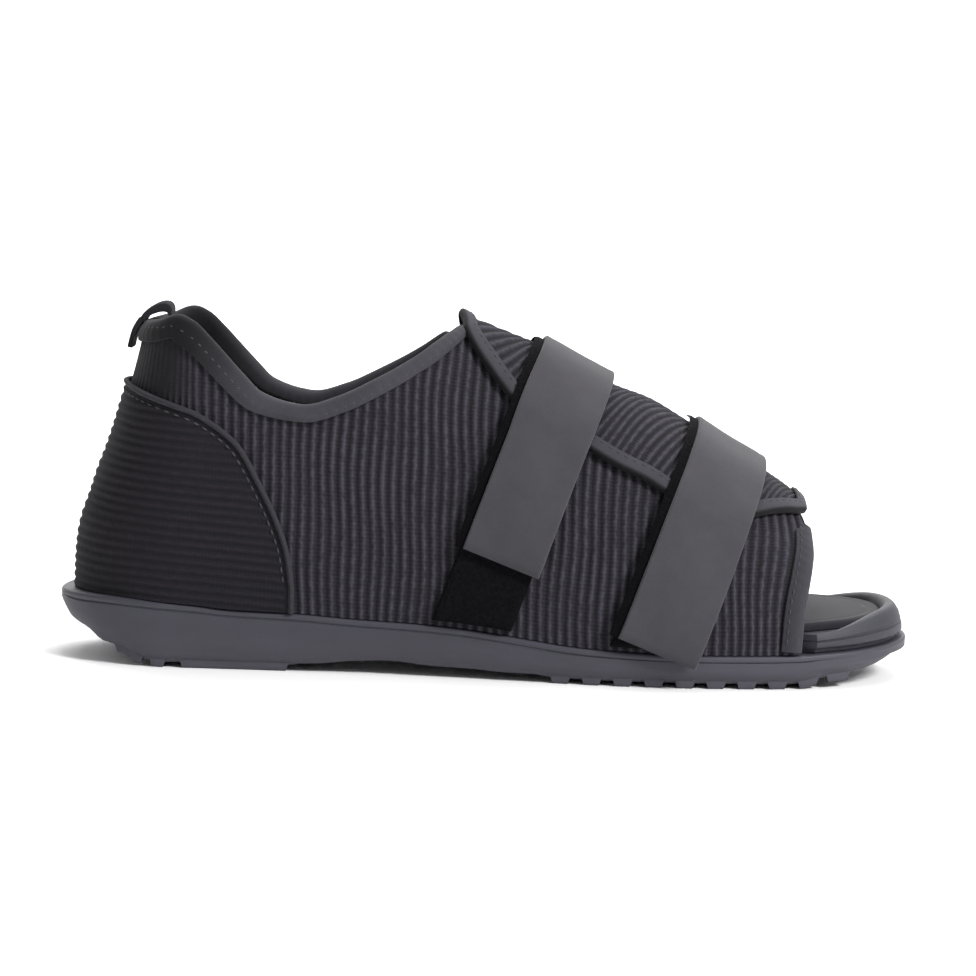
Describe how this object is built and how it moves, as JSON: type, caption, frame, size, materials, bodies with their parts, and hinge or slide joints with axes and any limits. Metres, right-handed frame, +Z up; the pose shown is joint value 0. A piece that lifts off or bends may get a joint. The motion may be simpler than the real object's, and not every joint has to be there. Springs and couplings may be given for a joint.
{
  "type": "post operative shoe",
  "caption": "Open-toe shoe with a ribbed mesh upper, a front flap over the instep, hook-and-loop straps and a stiff rocker sole, worn over a bandaged foot.",
  "frame": {"origin": "centre of the shoe's bounding box in plan, on the floor under the lugs", "axes": "+X from heel to toe, +Y to the medial side of this right shoe, +Z up"},
  "size_m": [0.29, 0.112, 0.1203],
  "materials": {
    "outsole_rubber": "matt moulded rubber",
    "midsole_foam": "matt moulded foam",
    "insole_foam": "matt cloth-covered foam",
    "quarter_mesh": "ribbed mesh cloth",
    "flap_mesh": "ribbed mesh cloth",
    "counter_mesh": "ribbed mesh cloth",
    "binding_tape": "smooth woven tape",
    "strap_fabric": "brushed matt fabric",
    "hook_tape": "matt woven hook tape",
    "loop_pile": "dense loop pile",
    "tab_webbing": "woven webbing"
  },
  "bodies": {
    "root": {"outsole": "outsole_rubber", "midsole": "midsole_foam", "insole": "insole_foam", "upper": "quarter_mesh", "front_flap": "flap_mesh", "heel_counter": "counter_mesh", "collar_binding": "binding_tape", "toe_binding_lateral": "binding_tape", "toe_binding_medial": "binding_tape", "flap_binding": "binding_tape", "strap_rear": "strap_fabric", "strap_front": "strap_fabric", "strap_backing_rear": "hook_tape", "strap_backing_front": "hook_tape", "loop_patch_rear": "loop_pile", "loop_patch_front": "loop_pile", "pull_tab": "tab_webbing"}
  },
  "joints": []
}
